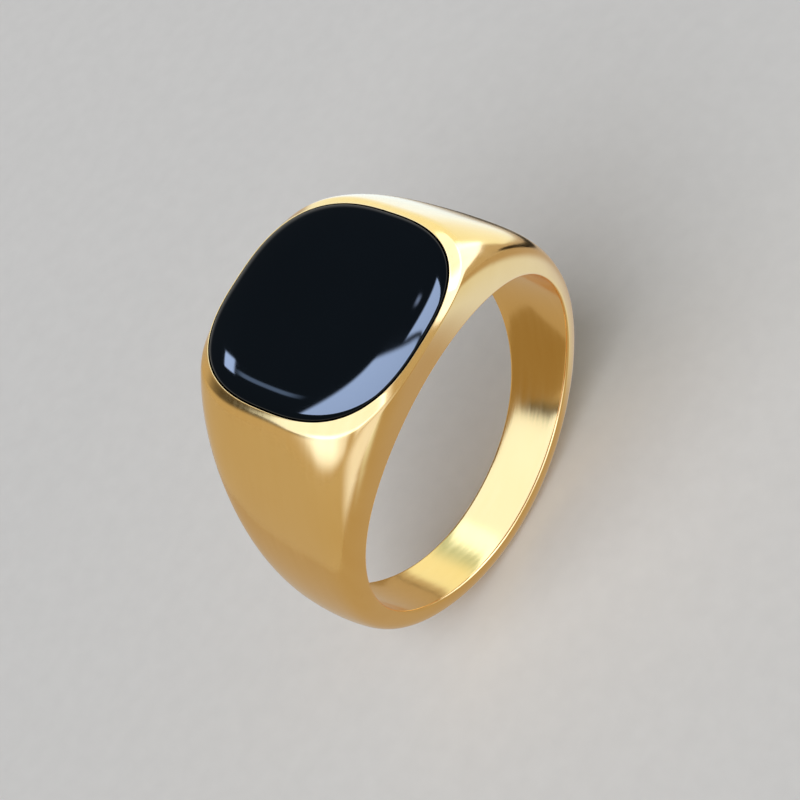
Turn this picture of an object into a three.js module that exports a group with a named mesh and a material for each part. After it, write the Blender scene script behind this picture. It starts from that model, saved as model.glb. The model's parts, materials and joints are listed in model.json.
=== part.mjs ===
// Signet ring, in millimetres: a cast band that widens into a cushion-shaped head, and a black
// stone bedded in a pocket in that head. The origin is the centre of the finger bore, Y runs
// along the finger, and +Z points out through the middle of the head.
import * as THREE from "three";
import { mergeVertices } from "three/addons/utils/BufferGeometryUtils.js";

// Band
const BORE_DIAMETER = 19.8;
const BOTTOM_THICKNESS = 1.45; // wall opposite the head
const SIDE_THICKNESS = 1.55; // wall level with the bore's centre
const BOTTOM_WIDTH = 3.65; // along the finger, opposite the head
const BAND_SQUARENESS = 9; // superellipse exponent of the band's section
const BAND_CROWN = 0.4; // how far the band's outer face falls away at its edges
const CROWN_SWEEP = 3; // how late that crown fades towards the rim
const BORE_EDGE_ROUNDING = 0.2; // how far the rounding of each bore edge reaches

// Head
const CROWN_THICKNESS = 2.7; // from the bore's top to the rim
const HEAD_SQUARENESS = 2.8; // superellipse exponent of the rim's outline
const RIM_WALL = 0.26; // metal around the stone, at the middle of each side
const RIM_LAND = 0.1; // share of the rim's width that stays flat
const BEVEL_DROP_ENDS = 0.3; // height of the rim's bevel over the shoulders
const BEVEL_DROP_SIDES = 0.4; // and over the two open sides
const WIDTH_SWEEP = 1.53; // how late the band widens into the head
const PROFILE_SWEEP = 2.0; // how full the shoulders are, seen along the finger
const SQUARENESS_SWEEP = 2.1; // how late the section softens towards the rim

// Stone and its cement
const STONE_LENGTH = 12.3; // across the finger
const STONE_WIDTH = 12.6; // along the finger
const STONE_SQUARENESS = 2.65;
const STONE_DEPTH = 0.8; // from the rim down to the stone's back
const STONE_TAPER = 0.35; // how much the stone's edge draws in towards its back
const STONE_RISE = 0.3; // crown above the rim
const STONE_ROUNDING = 2.2; // how far the crown's rounded border reaches in
const STONE_CLEARANCE = 0.08; // between the stone's edge and the pocket's wall
const BED_THICKNESS = 0.12;
const BED_INSET = 0.5; // the cement stops short of the stone's edge

// Fineness of the faceted surfaces
const HEAD_ROWS = 11;
const SHOULDER_ROWS = 8;
const BAND_ROWS = 14;
const SKIN_COLUMNS = 12;
const SKIN_BUNCHING = 1.2; // draws the columns of the skin towards the bore's edge
const EDGE_COLUMNS = 3;
const BORE_COLUMNS = 2;
const CROWN_ROWS = 5;
const WELD = 1e-4; // corners nearer than this are one corner
const SLIVER = 1e-9; // twice the area below which a triangle is only a line

const boreRadius = BORE_DIAMETER / 2;
const rimHeight = boreRadius + CROWN_THICKNESS;
const stoneBase = rimHeight - STONE_DEPTH;
const pocketFloor = stoneBase - BED_THICKNESS;
const headHalfLength = STONE_LENGTH / 2 + STONE_CLEARANCE + RIM_WALL;
const headHalfWidth = STONE_WIDTH / 2 + STONE_CLEARANCE + RIM_WALL;
const sideReach = boreRadius + SIDE_THICKNESS;
const bottomReach = boreRadius + BOTTOM_THICKNESS;

const { lerp } = THREE.MathUtils;
const quarterTurn = Math.PI / 2;
const headSpread = THREE.MathUtils.degToRad(50); // part of the bore's edge that faces the rim

// A point on a superellipse with the given half sizes, in the direction of a polar angle.
function cushionPoint(halfLength, halfWidth, squareness, angle) {
  const across = Math.abs(Math.cos(angle));
  const along = Math.abs(Math.sin(angle));
  const reach = (across ** squareness + along ** squareness) ** (-1 / squareness);
  return [halfLength * Math.cos(angle) * reach, halfWidth * Math.sin(angle) * reach];
}

// Half the ring's width along the finger, at a height.
function halfWidthAt(height) {
  const climb = (height + bottomReach) / (rimHeight + bottomReach);
  return lerp(BOTTOM_WIDTH / 2, headHalfWidth, climb ** WIDTH_SWEEP);
}

// The section through one side of the ring: level with the ground above the bore's centre, and
// radial below it. Each gives how far the section starts and ends from the bore's axis.
function levelSection(height) {
  const climb = height / rimHeight;
  return {
    inner: Math.sqrt(Math.max(boreRadius ** 2 - height ** 2, 0)),
    outer: lerp(sideReach, headHalfLength, climb ** PROFILE_SWEEP),
    halfWidth: halfWidthAt(height),
    squareness: lerp(BAND_SQUARENESS, HEAD_SQUARENESS, climb ** SQUARENESS_SWEEP),
  };
}

function radialSection(turn) {
  const outer = lerp(sideReach, bottomReach, Math.sin(turn) ** 2);
  return {
    inner: boreRadius,
    outer,
    halfWidth: halfWidthAt(-outer * Math.sin(turn)),
    squareness: BAND_SQUARENESS,
  };
}

// The polar angle at which a section meets the bore.
function boreAngle({ inner, outer, squareness }) {
  const ratio = inner / outer;
  return Math.atan2((1 - ratio ** squareness) ** (1 / squareness), ratio);
}

// Crowns a section: the outer face falls away towards its edges, and the bore's edge stays.
function crowned(reach, y, { inner, outer, halfWidth }, crown) {
  const depth = THREE.MathUtils.clamp((Math.abs(reach) - inner) / (outer - inner), 0, 1);
  return reach - Math.sign(reach) * crown * depth * (y / halfWidth) ** 2;
}

function levelPoint(height, angle) {
  const section = levelSection(height);
  const [x, y] = cushionPoint(section.outer, section.halfWidth, section.squareness, angle);
  const crown = BAND_CROWN * (1 - (height / rimHeight) ** CROWN_SWEEP);
  return new THREE.Vector3(crowned(x, y, section, crown), y, height);
}

function radialPoint(turn, angle) {
  const section = radialSection(turn);
  const [flat, y] = cushionPoint(section.outer, section.halfWidth, section.squareness, angle);
  const reach = crowned(flat, y, section, BAND_CROWN);
  return new THREE.Vector3(reach * Math.cos(turn), y, -reach * Math.sin(turn));
}

// Where the rim's bevel starts, in the direction of a polar angle.
function bevelHeight(angle) {
  return rimHeight - lerp(BEVEL_DROP_ENDS, BEVEL_DROP_SIDES, Math.sin(angle) ** 2);
}

// Each row is a path over the outside of one quarter of the ring, from the bore's edge (0) to
// the rim or the middle of the band (1).
function levelRow(fromHeight, toHeight, toAngle) {
  const fromAngle = boreAngle(levelSection(fromHeight));
  return (share) => levelPoint(lerp(fromHeight, toHeight, share), lerp(fromAngle, toAngle, share));
}

function radialRow(turn) {
  const fromAngle = boreAngle(radialSection(turn));
  return (share) => radialPoint(turn, lerp(fromAngle, 0, share));
}

function quarterRows() {
  const rows = [];
  for (let i = 0; i <= HEAD_ROWS; i += 1) {
    const share = i / HEAD_ROWS;
    const angle = quarterTurn * (1 - share);
    rows.push(levelRow(boreRadius * Math.cos(headSpread * share), bevelHeight(angle), angle));
  }
  for (let i = 1; i <= SHOULDER_ROWS; i += 1) {
    const share = i / SHOULDER_ROWS;
    const height = boreRadius * Math.cos(lerp(headSpread, quarterTurn, share));
    rows.push(levelRow(height, bevelHeight(0) * (1 - share), 0));
  }
  for (let i = 1; i <= BAND_ROWS; i += 1) {
    rows.push(radialRow(quarterTurn * (i / BAND_ROWS)));
  }
  return rows;
}

// A point on the parabola that rounds the corner between two points.
function roundedCorner(start, corner, end, share) {
  const points = [start, corner, end];
  const weights = [(1 - share) ** 2, 2 * share * (1 - share), share ** 2];
  return points.reduce((sum, point, i) => sum.addScaledVector(point, weights[i]), new THREE.Vector3());
}

// One row's points, from the middle of the bore over the rounded bore edge to the row's end.
function rowPoints(row) {
  const corner = row(0);
  const probe = 0.01;
  const edgeShare = (BORE_EDGE_ROUNDING * probe) / row(probe).distanceTo(corner);
  const skinStart = row(edgeShare);
  const boreStart = corner.clone();
  boreStart.y -= BORE_EDGE_ROUNDING;
  const points = [];
  for (let i = 0; i < BORE_COLUMNS; i += 1) {
    points.push(boreStart.clone().setY(boreStart.y * (i / BORE_COLUMNS)));
  }
  for (let i = 0; i < EDGE_COLUMNS; i += 1) {
    points.push(roundedCorner(boreStart, corner, skinStart, i / EDGE_COLUMNS));
  }
  for (let i = 0; i <= SKIN_COLUMNS; i += 1) {
    points.push(row(lerp(edgeShare, 1, (i / SKIN_COLUMNS) ** SKIN_BUNCHING)));
  }
  return points;
}

// The quads between the points of a grid. Turned over, they face the other way.
function addGrid(quads, grid, turnedOver) {
  for (let i = 0; i + 1 < grid.length; i += 1) {
    for (let j = 0; j + 1 < grid[i].length; j += 1) {
      const quad = [grid[i][j], grid[i + 1][j], grid[i + 1][j + 1], grid[i][j + 1]];
      quads.push(turnedOver ? quad.reverse() : quad);
    }
  }
}

// The four mirror images of a grid of points, as quads that face outwards.
function addQuarters(quads, grid) {
  for (const [sx, sy] of [[1, 1], [-1, 1], [-1, -1], [1, -1]]) {
    const mirrored = grid.map((row) => row.map((p) => new THREE.Vector3(p.x * sx, p.y * sy, p.z)));
    addGrid(quads, mirrored, sx * sy > 0);
  }
}

// Rings of points joined from the first to the last, with a flat cap over the last.
function addRings(quads, rings) {
  const closed = rings.map((ring) => [...ring, ring[0]]);
  const middle = new THREE.Vector3(0, 0, rings.at(-1)[0].z);
  addGrid(quads, [...closed, closed[0].map(() => middle)], true);
}

// The same with a flat cap under the first ring too.
function addClosedRings(quads, rings) {
  const middle = new THREE.Vector3(0, 0, rings[0][0].z);
  addRings(quads, [rings[0].map(() => middle), ...rings]);
}

// The directions at which every cushion outline of the head is divided, all the way round.
function headAngles() {
  const steps = 4 * HEAD_ROWS;
  return Array.from({ length: steps }, (_, i) => (2 * Math.PI * i) / steps);
}

function cushionRing(halfLength, halfWidth, squareness, height) {
  return headAngles().map((angle) => {
    const [x, y] = cushionPoint(halfLength, halfWidth, squareness, angle);
    return new THREE.Vector3(x, y, height);
  });
}

function stoneRing(margin, height) {
  return cushionRing(STONE_LENGTH / 2 + margin, STONE_WIDTH / 2 + margin, STONE_SQUARENESS, height);
}

// Quads become triangles on shared corners, split along the shorter diagonal. A triangle that
// closes to a line is left out.
function solidGeometry(quads) {
  const corners = [];
  for (const [a, b, c, d] of quads) {
    const straight = a.distanceTo(c) < b.distanceTo(d);
    for (const triangle of straight ? [[a, b, c], [a, c, d]] : [[a, b, d], [b, c, d]]) {
      const [p, q, r] = triangle;
      const spread = q.clone().sub(p).cross(r.clone().sub(p)).length();
      if (spread > SLIVER) {
        corners.push(...triangle);
      }
    }
  }
  const loose = new THREE.BufferGeometry().setFromPoints(corners);
  const geometry = mergeVertices(loose, WELD);
  geometry.computeVertexNormals();
  return geometry;
}

// The casting: band, shoulders and head in one, with a flat-floored pocket for the stone.
function ringBodyGeometry() {
  const quads = [];
  addQuarters(quads, quarterRows().map(rowPoints));
  const pocketRim = stoneRing(STONE_CLEARANCE, rimHeight);
  const brow = headAngles().map((angle) => levelPoint(rimHeight, angle));
  const bevelFoot = headAngles().map((angle) => levelPoint(bevelHeight(angle), angle));
  const land = brow.map((point, i) => pocketRim[i].clone().lerp(point, RIM_LAND));
  const pocketCorner = stoneRing(STONE_CLEARANCE - STONE_TAPER, pocketFloor);
  addRings(quads, [bevelFoot, land, pocketRim, pocketCorner]);
  return solidGeometry(quads);
}

// The stone: a flat-backed cushion that flares to its girdle, level with the rim, and then rounds
// over to a flat table.
function stoneGeometry() {
  const rings = [stoneRing(-STONE_TAPER, stoneBase)];
  for (let i = 0; i <= CROWN_ROWS; i += 1) {
    const turn = quarterTurn * (i / CROWN_ROWS);
    const height = rimHeight + STONE_RISE * Math.sin(turn);
    rings.push(stoneRing(-STONE_ROUNDING * (1 - Math.cos(turn)), height));
  }
  const quads = [];
  addClosedRings(quads, rings);
  return solidGeometry(quads);
}

// The cement: a thin flat layer between the pocket's floor and the stone's back.
function stoneBedGeometry() {
  const quads = [];
  const margin = -STONE_TAPER - BED_INSET;
  addClosedRings(quads, [stoneRing(margin, pocketFloor), stoneRing(margin, stoneBase)]);
  return solidGeometry(quads);
}

const gold = new THREE.MeshStandardMaterial({ color: 0xd9ab5f, roughness: 0.16, metalness: 1 });
const onyx = new THREE.MeshStandardMaterial({ color: 0x060708, roughness: 0.05, metalness: 0 });
const cement = new THREE.MeshStandardMaterial({ color: 0x2a2724, roughness: 0.7, metalness: 0 });

function namedMesh(name, geometry, material) {
  const mesh = new THREE.Mesh(geometry, material);
  mesh.name = name;
  return mesh;
}

const signetRing = new THREE.Group();
signetRing.name = "signet_ring";
signetRing.add(
  namedMesh("ring_body", ringBodyGeometry(), gold),
  namedMesh("onyx_stone", stoneGeometry(), onyx),
  namedMesh("stone_bed", stoneBedGeometry(), cement),
);

export default signetRing;
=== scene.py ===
import json
import math

import bmesh
import bpy
from mathutils import Matrix, Vector


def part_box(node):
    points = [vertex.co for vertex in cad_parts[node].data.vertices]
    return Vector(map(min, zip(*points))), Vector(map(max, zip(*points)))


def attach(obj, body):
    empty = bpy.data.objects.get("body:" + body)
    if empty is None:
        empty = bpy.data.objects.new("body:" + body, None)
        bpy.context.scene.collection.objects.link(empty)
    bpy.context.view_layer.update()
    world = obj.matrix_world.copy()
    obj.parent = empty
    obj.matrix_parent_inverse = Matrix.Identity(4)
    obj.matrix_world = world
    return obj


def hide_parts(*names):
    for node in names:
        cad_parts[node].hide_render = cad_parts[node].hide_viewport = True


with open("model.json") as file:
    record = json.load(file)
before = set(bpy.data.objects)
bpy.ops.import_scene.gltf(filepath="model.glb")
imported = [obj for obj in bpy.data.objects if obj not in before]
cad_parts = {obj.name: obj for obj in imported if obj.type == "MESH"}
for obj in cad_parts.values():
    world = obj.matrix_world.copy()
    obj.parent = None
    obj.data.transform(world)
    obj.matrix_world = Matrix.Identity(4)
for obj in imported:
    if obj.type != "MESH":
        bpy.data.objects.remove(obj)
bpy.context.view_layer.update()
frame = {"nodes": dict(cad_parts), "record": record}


# ---------------------------------------------------------------------------
# Casting: one piece of gold-coloured metal. It is cast with its pocket, filed to a cushion head
# and a narrow shank, and polished all over; the rim is burnished round the stone.
# ---------------------------------------------------------------------------

mm = 0.001

# Sizes that the frame gives
ring_low, ring_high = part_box("ring_body")
stone_low, stone_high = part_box("onyx_stone")
bed_low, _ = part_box("stone_bed")
finger_bore = next(m for m in frame["record"]["mounts"] if m["name"] == "finger_bore")
bore_radius = finger_bore["dims"]["r_mm"] * mm
bottom_half_width = finger_bore["dims"]["length_mm"] * mm / 2
rim_height = ring_high.z
bottom_reach = -ring_low.z
side_reach = ring_high.x
stone_half_length = stone_high.x
stone_half_width = stone_high.y
pocket_floor = bed_low.z

# Sizes of the shape between them
rim_wall = 0.26 * mm
stone_clearance = 0.08 * mm
stone_taper = 0.35 * mm
rim_land = 0.10  # the flat top, as a share of the rim's width
bevel_drop_ends = 0.30 * mm
bevel_drop_sides = 0.40 * mm
bevel_rounding_ends = 0.26 * mm
bevel_rounding_sides = 0.08 * mm
band_crown = 0.40 * mm
crown_sweep = 3.0
lip_rounding = 0.04 * mm
bore_edge_rounding = 0.20 * mm
head_squareness = 2.8
band_squareness = 9.0
stone_squareness = 2.65
width_sweep = 1.53
profile_sweep = 2.0
squareness_sweep = 2.1
head_half_length = stone_half_length + stone_clearance + rim_wall
head_half_width = stone_half_width + stone_clearance + rim_wall
head_spread = math.radians(50)  # the turn round the bore whose rows end on the head's rim
quarter_turn = math.pi / 2

# Fineness of the surface
head_rows = 44
shoulder_rows = 36
band_rows = 56
skin_columns = 44
skin_bunching = 1.2
edge_columns = 8
bore_columns = 4
rounding_rows = 5


def lerp(start, end, share):
    """A value part of the way from one value to another."""
    return start + (end - start) * share


def cushion_point(half_length, half_width, squareness, angle):
    """A point on a superellipse, in the direction of a polar angle."""
    across, along = abs(math.cos(angle)), abs(math.sin(angle))
    reach = (across ** squareness + along ** squareness) ** (-1 / squareness)
    return half_length * math.cos(angle) * reach, half_width * math.sin(angle) * reach


def half_width_at(height):
    """Half the ring's width along the finger, at a height."""
    climb = (height + bottom_reach) / (rim_height + bottom_reach)
    return lerp(bottom_half_width, head_half_width, climb ** width_sweep)


def level_section(height):
    """Inner and outer reach, half width and squareness of a level cut above the bore's centre."""
    climb = height / rim_height
    inner = math.sqrt(max(bore_radius ** 2 - height ** 2, 0))
    outer = lerp(side_reach, head_half_length, climb ** profile_sweep)
    squareness = lerp(band_squareness, head_squareness, climb ** squareness_sweep)
    return inner, outer, half_width_at(height), squareness


def radial_section(turn):
    """The same for a cut that points away from the bore's axis, below its centre."""
    outer = lerp(side_reach, bottom_reach, math.sin(turn) ** 2)
    return bore_radius, outer, half_width_at(-outer * math.sin(turn)), band_squareness


def bore_angle(section):
    """The polar angle at which a section meets the bore."""
    inner, outer, _, squareness = section
    ratio = inner / outer
    return math.atan2((1 - ratio ** squareness) ** (1 / squareness), ratio)


def crowned(reach, y, section, crown):
    """Draws the outer face in towards its edges, and leaves the bore's edge where it is."""
    inner, outer, half_width, _ = section
    depth = min(max((abs(reach) - inner) / (outer - inner), 0), 1)
    return reach - math.copysign(crown * depth * (y / half_width) ** 2, reach)


def level_point(height, angle):
    """A point of the outside at a height above the bore's centre, with its crown."""
    section = level_section(height)
    x, y = cushion_point(*section[1:], angle)
    crown = band_crown * (1 - (height / rim_height) ** crown_sweep)
    return Vector((crowned(x, y, section, crown), y, height))


def radial_point(turn, angle):
    """The same for a cut below the bore's centre."""
    section = radial_section(turn)
    reach, y = cushion_point(*section[1:], angle)
    reach = crowned(reach, y, section, band_crown)
    return Vector((reach * math.cos(turn), y, -reach * math.sin(turn)))


def bevel_height(angle):
    """The height of the bevel's lower edge: it dips over the open sides, less over the shoulders."""
    return rim_height - lerp(bevel_drop_ends, bevel_drop_sides, math.sin(angle) ** 2)


def bevel_rounding(angle):
    """How far the rounding of the bevel's edges reaches."""
    return lerp(bevel_rounding_ends, bevel_rounding_sides, math.sin(angle) ** 2)


def level_row(from_height, to_height, to_angle):
    """A path over the outside, from the bore's edge at one height to a point at another."""
    from_angle = bore_angle(level_section(from_height))
    return lambda share: level_point(
        lerp(from_height, to_height, share), lerp(from_angle, to_angle, share)
    )


def radial_row(turn):
    """A path straight across the band, from the bore's edge to the band's middle."""
    from_angle = bore_angle(radial_section(turn))
    return lambda share: radial_point(turn, lerp(from_angle, 0, share))


def quarter_rows():
    """Paths over a quarter of the outside, from the bore's edge to the rim or the band's middle."""
    for i in range(head_rows + 1):
        share = i / head_rows
        height = bore_radius * math.cos(head_spread * share)
        angle = quarter_turn * (1 - share)
        yield level_row(height, bevel_height(angle) - bevel_rounding(angle), angle)
    for i in range(1, shoulder_rows + 1):
        share = i / shoulder_rows
        height = bore_radius * math.cos(lerp(head_spread, quarter_turn, share))
        yield level_row(height, (bevel_height(0) - bevel_rounding(0)) * (1 - share), 0)
    for i in range(1, band_rows + 1):
        yield radial_row(quarter_turn * i / band_rows)


def rounded_corner(start, corner, end, share):
    """A point on the parabola that rounds the corner between two points."""
    return start * (1 - share) ** 2 + corner * (2 * share * (1 - share)) + end * share ** 2


def row_points(row):
    """One row, from the middle of the bore over its rounded edge to the row's end."""
    corner = row(0)
    probe = 0.02  # the short share of the row that shows how fast it leaves the bore
    edge_share = bore_edge_rounding * probe / (row(probe) - corner).length
    skin_start = row(edge_share)
    bore_start = corner - Vector((0, bore_edge_rounding, 0))
    points = []
    for i in range(bore_columns):
        points.append(Vector((bore_start.x, bore_start.y * i / bore_columns, bore_start.z)))
    for i in range(edge_columns):
        points.append(rounded_corner(bore_start, corner, skin_start, i / edge_columns))
    for i in range(skin_columns + 1):
        points.append(row(lerp(edge_share, 1, (i / skin_columns) ** skin_bunching)))
    return points


def add_grid(mesh, grid):
    """Joins a grid of points with quads, or with triangles where two corners fall together."""
    corners = [[mesh.verts.new(point) for point in row] for row in grid]
    for near, far in zip(corners, corners[1:]):
        for a, b, c, d in zip(near, far, far[1:], near[1:]):
            mesh.faces.new((a, b, c, d))


def outline_turns():
    """The polar angles of a closed outline's points, with the first again at the end."""
    steps = 4 * head_rows
    return [2 * math.pi * (i % steps) / steps for i in range(steps + 1)]


def cushion_ring(margin, height):
    """An outline parallel to the stone's, as a closed ring of points."""
    size = stone_half_length + margin, stone_half_width + margin
    points = [cushion_point(*size, stone_squareness, turn) for turn in outline_turns()]
    return [Vector((x, y, height)) for x, y in points]


def solid_object(name, mesh):
    """Welds the grids into one closed surface that faces outwards, and makes a smooth object."""
    weld = 0.0002 * mm
    bmesh.ops.remove_doubles(mesh, verts=mesh.verts, dist=weld)
    bmesh.ops.dissolve_degenerate(mesh, edges=mesh.edges, dist=weld)
    bmesh.ops.recalc_face_normals(mesh, faces=mesh.faces)
    for face in mesh.faces:
        face.smooth = True
    data = bpy.data.meshes.new(name)
    mesh.to_mesh(data)
    mesh.free()
    made = bpy.data.objects.new(name, data)
    bpy.context.scene.collection.objects.link(made)
    return made


def ring_casting():
    """The outside and bore from mirrored quarters, then the rim, the lip and the pocket."""
    mesh = bmesh.new()
    quarter = [row_points(row) for row in quarter_rows()]
    for sx in (1, -1):
        for sy in (1, -1):
            add_grid(mesh, [[Vector((p.x * sx, p.y * sy, p.z)) for p in row] for row in quarter])
    turns = outline_turns()
    outer_edge = [level_point(bevel_height(turn), turn) for turn in turns]
    foot = [level_point(bevel_height(turn) - bevel_rounding(turn), turn) for turn in turns]
    brow = [level_point(rim_height, turn) for turn in turns]
    pocket_rim = cushion_ring(stone_clearance, rim_height)
    land = [rim.lerp(point, rim_land) for rim, point in zip(pocket_rim, brow)]
    bevel_start = []
    bevel_end = []
    for turn, low, top in zip(turns, outer_edge, land):
        share = min(bevel_rounding(turn) / (top - low).length, 0.5)
        bevel_start.append(low.lerp(top, share))
        bevel_end.append(top.lerp(low, share))
    lip_start = cushion_ring(stone_clearance + lip_rounding, rim_height)
    lip_end = cushion_ring(stone_clearance, rim_height - lip_rounding)
    rings = []
    bevel_foot = (foot, outer_edge, bevel_start)
    bevel_top = (bevel_end, land, lip_start)
    lip = (lip_start, pocket_rim, lip_end)
    for corner in (bevel_foot, bevel_top, lip):
        for i in range(rounding_rows + 1):
            share = i / rounding_rows
            rings.append([rounded_corner(*points, share) for points in zip(*corner)])
    wall = cushion_ring(stone_clearance - stone_taper, pocket_floor)
    rings.append(wall)
    rings.append([Vector((0, 0, pocket_floor))] * len(wall))
    add_grid(mesh, rings)
    return solid_object("signet_casting", mesh)


class Wire:
    """An output of a shader node. Python's operators on it add Math nodes to its tree."""

    def __init__(self, tree, socket=None):
        self.tree = tree
        self.socket = socket

    def node(self, kind, settings=None, inputs=None, output=0):
        """Adds a node: first its settings, then the values or links of its inputs."""
        made = self.tree.nodes.new(kind)
        for name, value in (settings or {}).items():
            setattr(made, name, value)
        for name, value in (inputs or {}).items():
            if isinstance(value, Wire):
                self.tree.links.new(value.socket, made.inputs[name])
            else:
                made.inputs[name].default_value = value
        return Wire(self.tree, made.outputs[output])

    def math(self, operation, first, second):
        """Adds a Math node that works on two values."""
        return self.node("ShaderNodeMath", {"operation": operation}, {0: first, 1: second})

    def __add__(self, other):
        return self.math("ADD", self, other)

    def __radd__(self, other):
        return self.math("ADD", other, self)

    def __rsub__(self, other):
        return self.math("SUBTRACT", other, self)

    def __mul__(self, other):
        return self.math("MULTIPLY", self, other)

    def __rmul__(self, other):
        return self.math("MULTIPLY", other, self)

    def __truediv__(self, other):
        return self.math("DIVIDE", self, other)

    def __pow__(self, other):
        return self.math("POWER", self, other)

    def mix(self, first, second):
        """Blends two colours, with this wire as the share of the second."""
        inputs = {"Factor": self, "A": first, "B": second}
        return self.node("ShaderNodeMix", {"data_type": "RGBA"}, inputs, "Result")

    def axis(self, name):
        """One coordinate of a vector: X, Y or Z."""
        return self.node("ShaderNodeSeparateXYZ", inputs={0: self}, output=name)

    def noise(self, scale, detail):
        """Cloudy noise from 0 to 1. Its scale is in clouds per unit of the place."""
        inputs = {"Vector": self, "Scale": scale, "Detail": detail}
        return self.node("ShaderNodeTexNoise", inputs=inputs, output="Fac")


def new_material(name):
    """A material with an empty node tree, and a wire to start its nodes from."""
    material = bpy.data.materials.new(name)
    material.use_nodes = True
    material.node_tree.nodes.clear()
    return material, Wire(material.node_tree)


def finish_material(wire, surface):
    """Ends a material's node tree with the shader that covers the piece."""
    output = wire.tree.nodes.new("ShaderNodeOutputMaterial")
    wire.tree.links.new(surface.socket, output.inputs["Surface"])


def polished_gold():
    """Mirror polish with the fine lines of the buff, which run round the band."""
    material, start = new_material("polished_gold")
    place = start.node("ShaderNodeTexCoord", output="Object")
    x = place.axis("X")
    y = place.axis("Y")
    z = place.axis("Z")
    radius = (x * x + z * z) ** 0.5
    round_band = 3.0
    line_width = 0.35 * mm
    across_band = 1 / line_width
    clouds_per_metre = 260.0
    # A place that changes slowly round the band and fast across it, so its noise draws lines
    run = start.node(
        "ShaderNodeCombineXYZ",
        inputs={"X": x / radius * round_band, "Y": y * across_band, "Z": z / radius * round_band},
    )
    buffed = run.noise(scale=1.0, detail=4.0)
    cloud = place.noise(clouds_per_metre, detail=2.0)
    deep_gold = (0.88, 0.505, 0.135, 1)
    clear_gold = (0.96, 0.595, 0.195, 1)
    colour = (0.5 * cloud + 0.5 * buffed).mix(deep_gold, clear_gold)
    clean_roughness = 0.08
    line_roughness = 0.12
    line_depth = 0.005 * mm
    roughness = clean_roughness + line_roughness * buffed
    bump = start.node(
        "ShaderNodeBump",
        inputs={"Strength": 0.5, "Distance": line_depth, "Height": buffed},
        output="Normal",
    )
    surface = start.node(
        "ShaderNodeBsdfPrincipled",
        inputs={"Base Color": colour, "Metallic": 1.0, "Roughness": roughness, "Normal": bump},
    )
    finish_material(start, surface)
    return material


casting = ring_casting()
casting.data.materials.append(polished_gold())
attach(casting, "root")
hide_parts("ring_body")


# ---------------------------------------------------------------------------
# Stone: black onyx, cut as a flat-backed cushion. Its border is rounded over to a flat table,
# it is polished glossy, and it drops into the casting's pocket.
# ---------------------------------------------------------------------------

stone_rise = stone_high.z - rim_height
stone_rounding = 2.2 * mm
crown_rows = 28


def black_stone():
    """Rings from the middle of the back, out over the girdle and in to the middle of the table."""
    mesh = bmesh.new()
    back_edge = cushion_ring(-stone_taper, stone_low.z)
    rings = [[Vector((0, 0, stone_low.z))] * len(back_edge), back_edge]
    for i in range(crown_rows + 1):
        turn = quarter_turn * i / crown_rows
        height = rim_height + stone_rise * math.sin(turn)
        rings.append(cushion_ring(-stone_rounding * (1 - math.cos(turn)), height))
    rings.append([Vector((0, 0, stone_high.z))] * len(back_edge))
    add_grid(mesh, rings)
    return solid_object("black_stone", mesh)


def polished_onyx():
    """Nearly even black, with a faint veil that takes the polish a little less well."""
    material, start = new_material("polished_onyx")
    place = start.node("ShaderNodeTexCoord", output="Object")
    veils_per_metre = 180.0
    veil = place.noise(veils_per_metre, detail=3.0)
    deep_black = (0.0008, 0.0018, 0.0022, 1)
    veiled_black = (0.0014, 0.0026, 0.0032, 1)
    colour = veil.mix(deep_black, veiled_black)
    clear_roughness = 0.03
    veil_roughness = 0.02
    roughness = clear_roughness + veil_roughness * veil
    surface = start.node(
        "ShaderNodeBsdfPrincipled",
        inputs={"Base Color": colour, "Roughness": roughness, "IOR": 1.54},
    )
    finish_material(start, surface)
    return material


stone = black_stone()
stone.data.materials.append(polished_onyx())
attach(stone, "root")
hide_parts("onyx_stone")


# ---------------------------------------------------------------------------
# Setting cement: the thin dark layer that fixes the stone to the pocket's floor. It is spread
# when the stone is set, and only its edge could ever be seen.
# ---------------------------------------------------------------------------

def setting_cement():
    """Matt dark cement with a fine grain."""
    material, start = new_material("setting_cement")
    place = start.node("ShaderNodeTexCoord", output="Object")
    grains_per_metre = 4000.0
    grain_depth = 0.02 * mm
    grain = place.noise(grains_per_metre, detail=3.0)
    binder = (0.012, 0.010, 0.009, 1)
    filler = (0.032, 0.028, 0.024, 1)
    colour = grain.mix(binder, filler)
    least_roughness = 0.6
    grain_roughness = 0.3
    roughness = least_roughness + grain_roughness * grain
    bump_inputs = {"Distance": grain_depth, "Height": grain}
    bump = start.node("ShaderNodeBump", inputs=bump_inputs, output="Normal")
    surface = start.node(
        "ShaderNodeBsdfPrincipled",
        inputs={"Base Color": colour, "Roughness": roughness, "Normal": bump},
    )
    finish_material(start, surface)
    return material


cement = frame["nodes"]["stone_bed"]
cement.data.materials.clear()
cement.data.materials.append(setting_cement())


# ---------------------------------------------------------------------------
# Studio: a wide pale floor that the ring stands on, a pale wall of light round the horizon, soft
# boxes, and cards that glow with their own colours and show only as reflections, where they paint
# shade into the metal. Each box lights the metal only or the stone only.
# ---------------------------------------------------------------------------

floor_reach = 1.5
floor_height = ring_low.z


def pale_floor():
    """A plain matt floor with the faintest unevenness."""
    mesh = bmesh.new()
    ends = (-floor_reach, floor_reach)
    add_grid(mesh, [[Vector((x, y, floor_height)) for x in ends] for y in ends])
    made = solid_object("studio_floor", mesh)
    material, start = new_material("pale_floor")
    place = start.node("ShaderNodeTexCoord", output="Object")
    grains_per_metre = 900.0
    grain = place.noise(grains_per_metre, detail=4.0)
    dull_white = (0.70, 0.70, 0.70, 1)
    clean_white = (0.76, 0.76, 0.76, 1)
    colour = grain.mix(dull_white, clean_white)
    surface = start.node("ShaderNodeBsdfPrincipled", inputs={"Base Color": colour, "Roughness": 0.9})
    finish_material(start, surface)
    made.data.materials.append(material)
    return made


floor = pale_floor()


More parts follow.
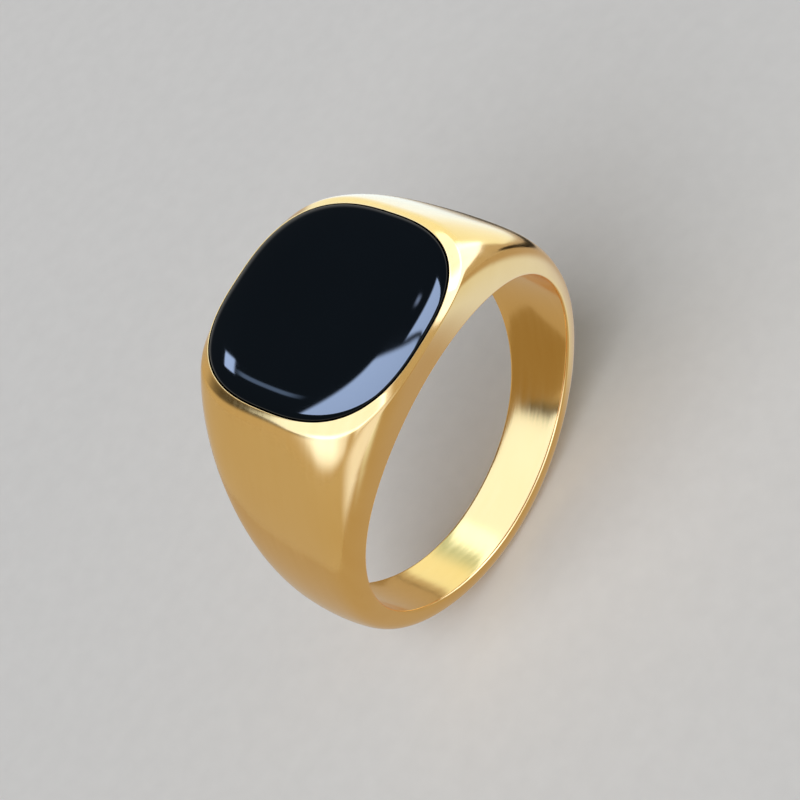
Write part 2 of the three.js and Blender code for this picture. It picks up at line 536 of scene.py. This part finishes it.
def flagged(name, *lit):
    """A collection of the only things that a light is allowed to reach."""
    group = bpy.data.collections.new(name)
    for thing in lit:
        group.objects.link(thing)
    return group


def outward(azimuth, elevation):
    """The direction from the ring: azimuth 0 is towards -Y and 90 is towards +X."""
    turn, rise = math.radians(azimuth), math.radians(elevation)
    return Vector((math.sin(turn) * math.cos(rise), -math.cos(turn) * math.cos(rise), math.sin(rise)))


def soft_box(name, place, target, size, glow, lit, feather):
    """A rectangular light that faces a target and reaches only the things in one collection.

    Its cloth shines with the given radiance and fades out over a share of its size at each edge.
    """
    light = bpy.data.lights.new(name, "AREA")
    light.shape = "RECTANGLE"
    light.size, light.size_y = size
    strength = max(glow)
    light.color = [share / strength for share in glow]
    light.energy = strength * math.pi * light.size * light.size_y
    light.use_nodes = True
    light.node_tree.nodes.clear()
    start = Wire(light.node_tree)
    cloth = start.node("ShaderNodeNewGeometry", output="Parametric")
    fade = 1.0
    for side in ("X", "Y"):
        across = cloth.axis(side)
        edge = start.math("MINIMUM", across, 1 - across)
        fade = fade * start.node(
            "ShaderNodeMapRange",
            {"interpolation_type": "SMOOTHSTEP"},
            {"Value": edge, "From Max": feather},
        )
    shine = start.node("ShaderNodeEmission", inputs={"Strength": fade})
    output = light.node_tree.nodes.new("ShaderNodeOutputLight")
    light.node_tree.links.new(shine.socket, output.inputs["Surface"])
    box = bpy.data.objects.new(name, light)
    box.location = place
    box.rotation_euler = (place - target).to_track_quat("Z", "Y").to_euler()
    box.visible_camera = False
    box.light_linking.receiver_collection = lit
    bpy.context.scene.collection.objects.link(box)


metal_only = flagged("metal_only", casting, cement)
stone_only = flagged("stone_only", stone)
floor_only = flagged("floor_only", floor)
origin = Vector((0, 0, 0))
up = Vector((0, 0, 1))

# The light that the boxes' cloth gives, in red, green and blue
overcast = (1.15, 1.65, 3.2)
daylight = (0.45, 0.74, 1.8)
bright_daylight = (1.1, 1.7, 3.9)
cream = (0.50, 0.80, 1.10)
window = (5.9, 7.7, 11.5)

# A wide level box overhead
overhead = Vector((35, -20, 100)) * mm
overhead_size = (410 * mm, 280 * mm)
soft_box("overhead_box", overhead, overhead - up, overhead_size, overcast, metal_only, feather=0.06)


def far_box(name, azimuth, elevation, distance, size, glow, feather):
    """A large box at a distance, which faces the bore's centre."""
    place = outward(azimuth, elevation) * distance
    soft_box(name, place, origin, size, glow, metal_only, feather)


far_box(
    "left_box", azimuth=-85, elevation=28, distance=160 * mm,
    size=(170 * mm, 132 * mm), glow=daylight, feather=0.2,
)
far_box(
    "front_box", azimuth=-28, elevation=26, distance=150 * mm,
    size=(140 * mm, 110 * mm), glow=daylight, feather=0.2,
)
far_box(
    "key_box", azimuth=56, elevation=14, distance=60 * mm,
    size=(100 * mm, 66 * mm), glow=bright_daylight, feather=0.12,
)


def near_box(name, subject, azimuth, distance, height, size, glow, feather):
    """An upright box close to one part of the ring, with its middle at a height of its own."""
    direction = outward(azimuth, 0)
    place = subject + direction * distance
    place.z = height
    soft_box(name, place, place - direction, size, glow, metal_only, feather)


head_corner = Vector((-3, -6, 10)) * mm
near_box(
    "low_box", head_corner, azimuth=-32, distance=25 * mm, height=2 * mm,
    size=(44 * mm, 30 * mm), glow=daylight, feather=0.35,
)
near_box(
    "corner_box", head_corner, azimuth=-100, distance=25 * mm, height=22 * mm,
    size=(26 * mm, 22 * mm), glow=daylight, feather=0.35,
)


def floor_box(name, x, y, size, glow, feather):
    """A box that lies just over the floor and shines upwards."""
    lift = 0.2 * mm
    place = Vector((x, y, floor_height + lift))
    soft_box(name, place, place + up, size, glow, metal_only, feather)


floor_box(
    "floor_box", x=16 * mm, y=-14 * mm,
    size=(20 * mm, 32 * mm), glow=(0.30, 0.55, 1.0), feather=0.3,
)
floor_box(
    "far_floor_box", x=-12 * mm, y=-30 * mm,
    size=(14 * mm, 24 * mm), glow=(0.3, 0.55, 1.1), feather=0.45,
)

right_shoulder = Vector((8, 1, 8)) * mm
panel_azimuth = 118
near_box(
    "side_panel", right_shoulder, panel_azimuth, distance=20 * mm, height=7 * mm,
    size=(39 * mm, 32 * mm), glow=cream, feather=0.08,
)


def card(name, middle, across, along, colour):
    """A flat sheet, from its middle to two of its sides, that glows with its own colour instead of
    being lit. It shows only as a reflection, where it paints shade into the metal.
    """
    mesh = bmesh.new()
    corners = [middle + across * i + along * j for i, j in ((-1, -1), (1, -1), (1, 1), (-1, 1))]
    mesh.faces.new([mesh.verts.new(corner) for corner in corners])
    made = solid_object(name, mesh)
    material, start = new_material(name)
    surface = start.node("ShaderNodeEmission", inputs={"Color": colour})
    finish_material(start, surface)
    made.data.materials.append(material)
    made.visible_camera = False
    made.visible_shadow = False
    made.visible_diffuse = False


# A dark strip just over the floor, which the right shoulder's crest reflects as a line
from_shoulder = outward(panel_azimuth, 0)
beside_shoulder = outward(panel_azimuth + 90, 0)
strip_distance = 18.5 * mm
strip_lift = 0.1 * mm
strip = right_shoulder + from_shoulder * strip_distance
strip.z = floor_height + strip_lift
near_black = (0.01, 0.008, 0.006, 1)
card("dark_card", strip, beside_shoulder * 24 * mm, from_shoulder * 2 * mm, near_black)

# A warm grey sheet under the ring that glows with its own colour: painted shade, which the metal
# reflects as darker, warmer floor near the ring
floor_shade_lift = 0.05 * mm
floor_shade_place = Vector((0, 0, floor_height + floor_shade_lift))
floor_shade_across = Vector((32, 0, 0)) * mm
floor_shade_along = Vector((0, 32, 0)) * mm
floor_shade_grey = (0.50, 0.47, 0.42, 1)
card("floor_shade_card", floor_shade_place, floor_shade_across, floor_shade_along, floor_shade_grey)

# A brown sheet that stands behind the lower left of the bore and glows with its own colour: painted
# shade, which the bore reflects as brown
bore_shade_place = Vector((-4.75, 8, -6)) * mm
bore_shade_across = Vector((5.75, 0, 0)) * mm
bore_shade_up = Vector((0, 0, 4.5)) * mm
bore_shade_brown = (0.34, 0.28, 0.17, 1)
card("bore_shade_card", bore_shade_place, bore_shade_across, bore_shade_up, bore_shade_brown)


def over_stone(name, low, high, glow, feather):
    """A level box above the stone. Its low and high corners are in shares of its height."""
    lift = 120 * mm
    middle = Vector(((low[0] + high[0]) / 2, (low[1] + high[1]) / 2, 1)) * lift
    size = (high[0] - low[0]) * lift, (high[1] - low[1]) * lift
    place = Vector((0, 0, stone_high.z)) + middle
    soft_box(name, place, place - up, size, glow, stone_only, feather)


over_stone("stone_window", (-0.25, -0.5), (0.30, 0.66), window, feather=0.04)
over_stone("stone_side_window", (0.30, -0.3), (0.56, 0.42), window, feather=0.06)
over_stone("stone_small_window", (0.04, 1.0), (0.18, 1.16), window, feather=0.15)
over_stone("stone_streak", (0.06, 0.72), (0.12, 1.02), (1.2, 1.7, 2.6), feather=0.3)
over_stone("stone_lamp", (0.38, 0.52), (0.43, 0.60), (2.5, 3.2, 4.8), feather=0.45)

# A broad sun that lights the floor only
sun = bpy.data.lights.new("floor_wash", "SUN")
sun.energy = 2.2
sun.angle = math.radians(50)
sun_rig = bpy.data.objects.new("floor_wash", sun)
sun_rig.rotation_euler = outward(-70, 55).to_track_quat("Z", "Y").to_euler()
sun_rig.light_linking.receiver_collection = floor_only
bpy.context.scene.collection.objects.link(sun_rig)

# The wall of light: pale near the horizon, dark above, and lower behind the ring
world = bpy.data.worlds.new("studio")
world.use_nodes = True
world.node_tree.nodes.clear()
sky = Wire(world.node_tree)
sky_place = sky.node("ShaderNodeTexCoord", output="Generated")
wall_top = math.radians(22)
dark_from = math.radians(36)
wall_slope = 0.18
dark_above = sky.node(
    "ShaderNodeMapRange",
    {"interpolation_type": "SMOOTHSTEP"},
    {
        "Value": sky_place.axis("Z") + wall_slope * sky_place.axis("Y"),
        "From Min": math.sin(wall_top),
        "From Max": math.sin(dark_from),
    },
)
wall_white = (0.57, 0.56, 0.54, 1)
ceiling_grey = (0.06, 0.06, 0.06, 1)
wall_colour = dark_above.mix(wall_white, ceiling_grey)
backdrop = sky.node("ShaderNodeBackground", inputs={"Color": wall_colour, "Strength": 1.0})
sky_output = world.node_tree.nodes.new("ShaderNodeOutputWorld")
world.node_tree.links.new(backdrop.socket, sky_output.inputs["Surface"])
bpy.context.scene.world = world


# ---------------------------------------------------------------------------
# Camera: in front of the ring and above it, a little to its left. It is rolled, so that the band
# rises from the lower left to the upper right and the finger axis points to the upper left.
# ---------------------------------------------------------------------------

camera_place = Vector((-29.823, -71.287, 95.423)) * mm
camera_azimuth = -22.607
camera_elevation = 50.002
camera_roll = math.radians(-40.425)

lens = bpy.data.cameras.new("camera")
lens.lens = 99.73
lens.sensor_width = 36.0
lens.clip_start = 0.005
camera = bpy.data.objects.new("camera", lens)
aim = outward(camera_azimuth, camera_elevation).to_track_quat("Z", "Y").to_matrix().to_4x4()
roll = Matrix.Rotation(camera_roll, 4, "Z")
camera.matrix_world = Matrix.Translation(camera_place) @ aim @ roll
bpy.context.scene.collection.objects.link(camera)
bpy.context.scene.camera = camera
bpy.context.scene.view_settings.view_transform = "Standard"
